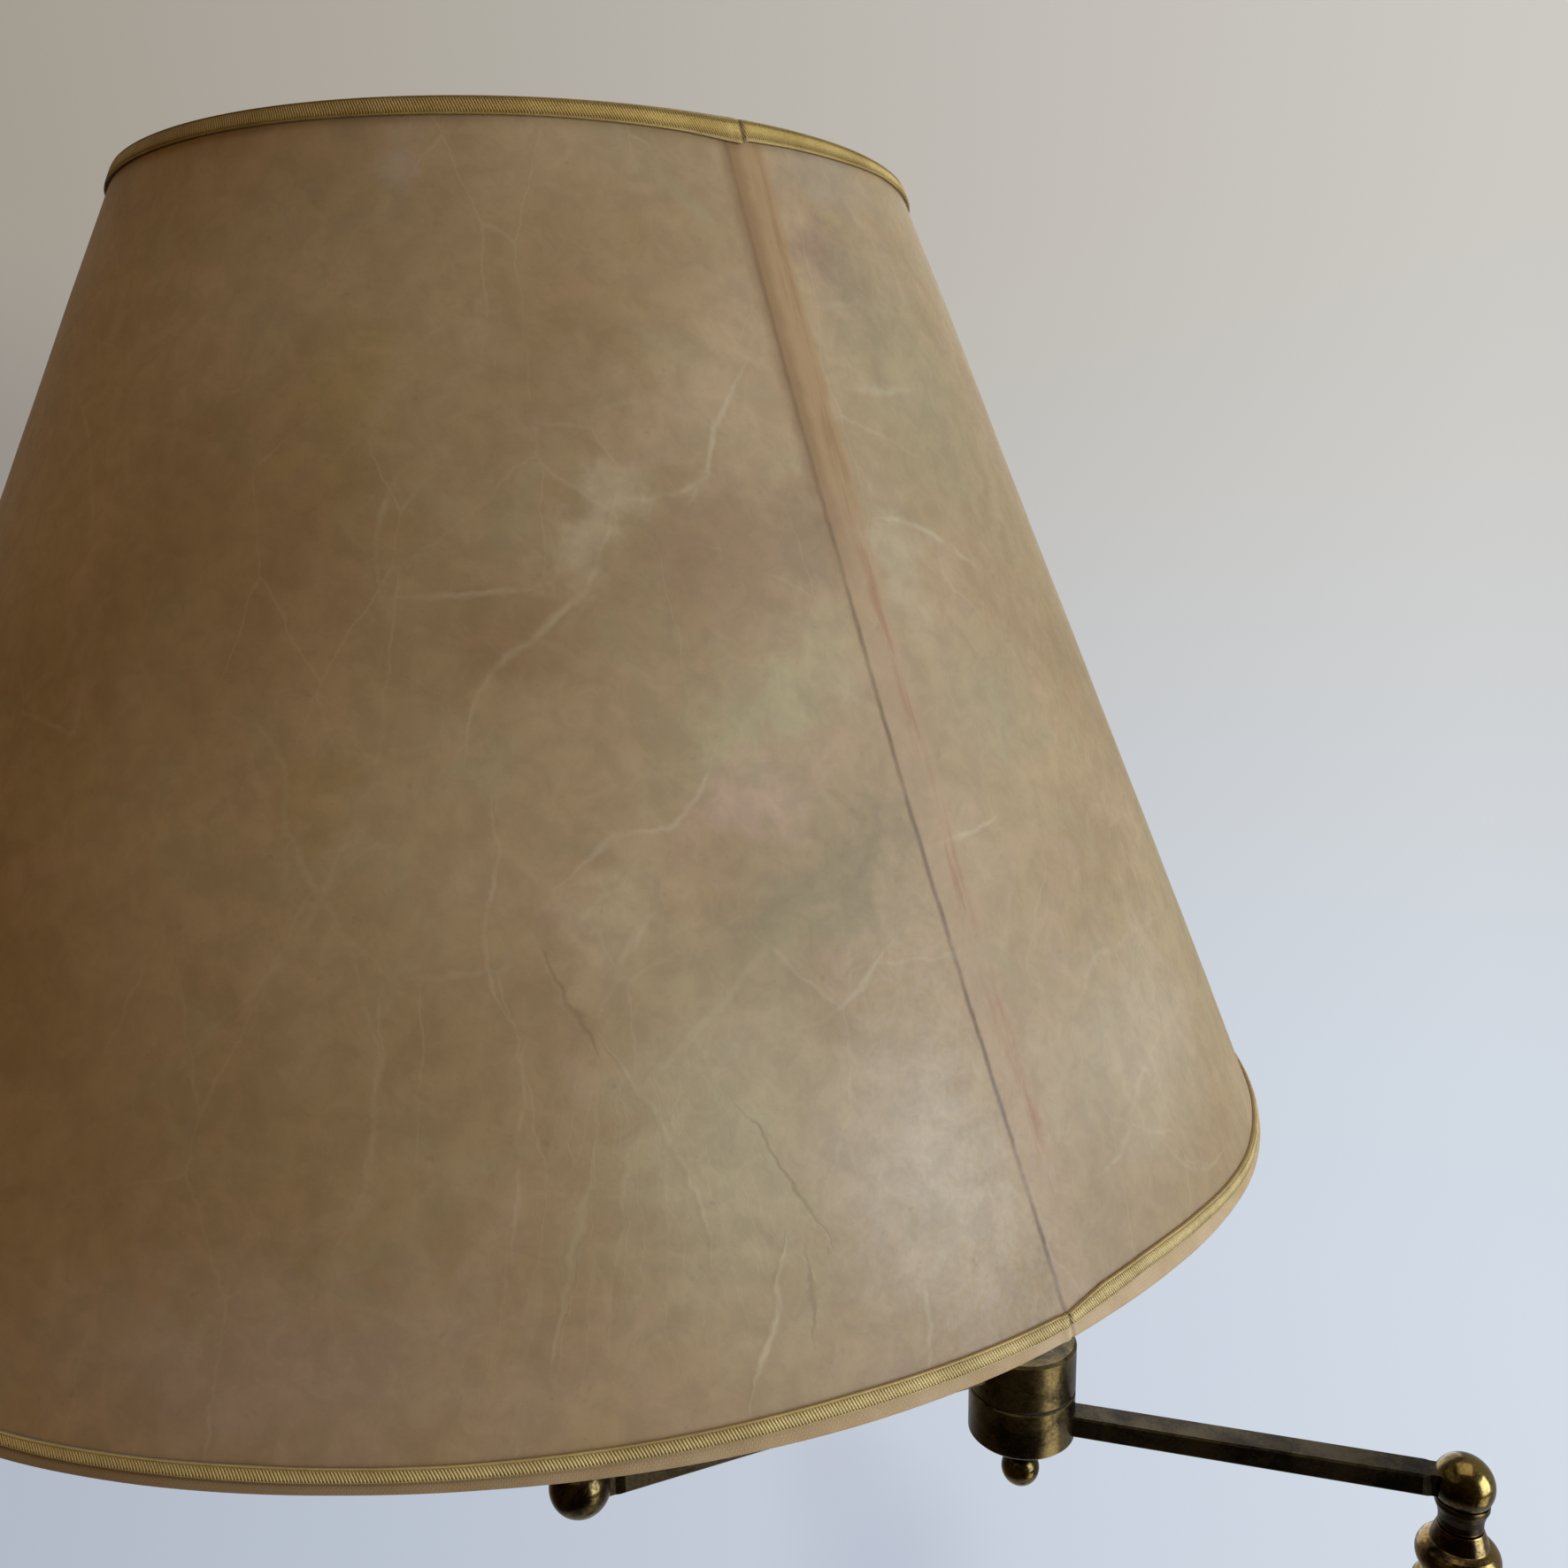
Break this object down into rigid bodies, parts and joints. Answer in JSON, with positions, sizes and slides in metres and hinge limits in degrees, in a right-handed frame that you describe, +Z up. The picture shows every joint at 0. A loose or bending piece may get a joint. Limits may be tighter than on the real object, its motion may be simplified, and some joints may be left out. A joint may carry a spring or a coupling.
{
  "type": "bridge floor lamp",
  "caption": "Floor lamp with a weighted round base, a turned brass stem, a jointed swinging arm with a drum elbow, and a conical leather shade.",
  "frame": {"origin": "centre of the base's underside, on the floor and on the stem's axis", "axes": "+Z up along the stem; at rest the lower arm points along -X from the stem and the upper arm is bent 41 degrees from it, towards -Y"},
  "size_m": [0.6179, 0.4494, 1.45],
  "materials": {
    "felt": "dense wool felt",
    "cast_iron": "rough cast, painted black",
    "aged_brass": "dark antique patina, worn bright on the edges",
    "dark_brass": "deep brown patina",
    "steel": "zinc plated, dull",
    "black_plastic": "moulded, dull",
    "wire_rubber": "rubber sheath",
    "dark_steel": "blackened",
    "fibre": "pressed vulcanised fibre",
    "porcelain": "glazed",
    "bright_brass": "bright, drawn",
    "phenolic": "moulded phenolic, worn gloss",
    "white_enamel": "dipped enamel, slightly chipped",
    "lining_board": "styrene coated board",
    "leather": "mottled tan hide, waxed, with veins and creases",
    "tan_tape": "woven cotton tape",
    "gold_braid": "ribbed metallic thread, tarnished",
    "brown_tape": "woven cotton tape",
    "gold_braid_bright": "ribbed metallic thread",
    "cap_aluminium": "rolled",
    "bulb_glass": "inside frosted",
    "solder": "dull solder"
  },
  "bodies": {
    "stand": {"base_felt": "felt", "base_weight": "cast_iron", "base_cover": "aged_brass", "base_washer": "steel", "base_nut": "steel", "cord_inlet_bush": "black_plastic", "tie_rod": "steel", "stem_foot": "aged_brass", "stem_lower_tube": "aged_brass", "stem_coupling": "aged_brass", "stem_upper_tube": "aged_brass", "stem_capital": "aged_brass", "stem_bead": "aged_brass", "stem_wire": "wire_rubber"},
    "lower_arm": {"swivel_neck": "dark_brass", "swivel_grub_screw": "dark_steel", "stem_ball": "aged_brass", "lower_arm_bar": "aged_brass", "elbow_lower_drum": "aged_brass", "elbow_washer": "fibre", "elbow_bolt": "dark_brass", "elbow_spring_washer": "steel", "lower_arm_wire": "wire_rubber"},
    "elbow_knob": {"elbow_knob": "aged_brass"},
    "upper_arm": {"elbow_upper_drum": "aged_brass", "upper_arm_bar": "aged_brass", "holder_ball": "aged_brass", "holder_rod": "steel", "holder_sleeve": "aged_brass", "holder_collar": "aged_brass", "upper_arm_wire": "wire_rubber", "socket_cup": "aged_brass", "socket_shell": "aged_brass", "socket_insert": "porcelain", "socket_screw_shell": "bright_brass", "socket_contact": "bright_brass", "socket_terminals": "bright_brass", "switch_body": "phenolic", "shade_seat_ring": "phenolic", "shade_clamp_ring": "phenolic", "shade_spider": "white_enamel", "shade_top_wire": "white_enamel", "shade_lining": "lining_board", "leather_cover": "leather", "bottom_binding": "tan_tape", "bottom_braid": "gold_braid", "top_binding": "brown_tape", "top_braid": "gold_braid_bright", "bulb_cap": "cap_aluminium", "bulb_glass": "bulb_glass", "bulb_contact": "solder"},
    "switch_knob": {"switch_spindle": "bright_brass", "switch_knob": "phenolic"}
  },
  "joints": [
    {"name": "stem_pivot", "type": "hinge", "parent": "stand", "child": "lower_arm", "pos_m": [0, 0, 1.04], "axis": [0, 0, 1], "range_deg": [-170, 170]},
    {"name": "elbow_pivot", "type": "hinge", "parent": "lower_arm", "child": "upper_arm", "pos_m": [-0.15, 0, 1.0515], "axis": [0, 0, 1], "range_deg": [-206, 124]},
    {"name": "elbow_knob_turn", "type": "hinge", "parent": "lower_arm", "child": "elbow_knob", "pos_m": [-0.15, 0, 1.02], "axis": [0, 0, 1], "range_deg": [-180, 0]},
    {"name": "switch_turn", "type": "hinge", "parent": "upper_arm", "child": "switch_knob", "pos_m": [-0.27679, -0.11022, 1.197], "axis": [0.866, 0.5, 0], "continuous": true}
  ]
}
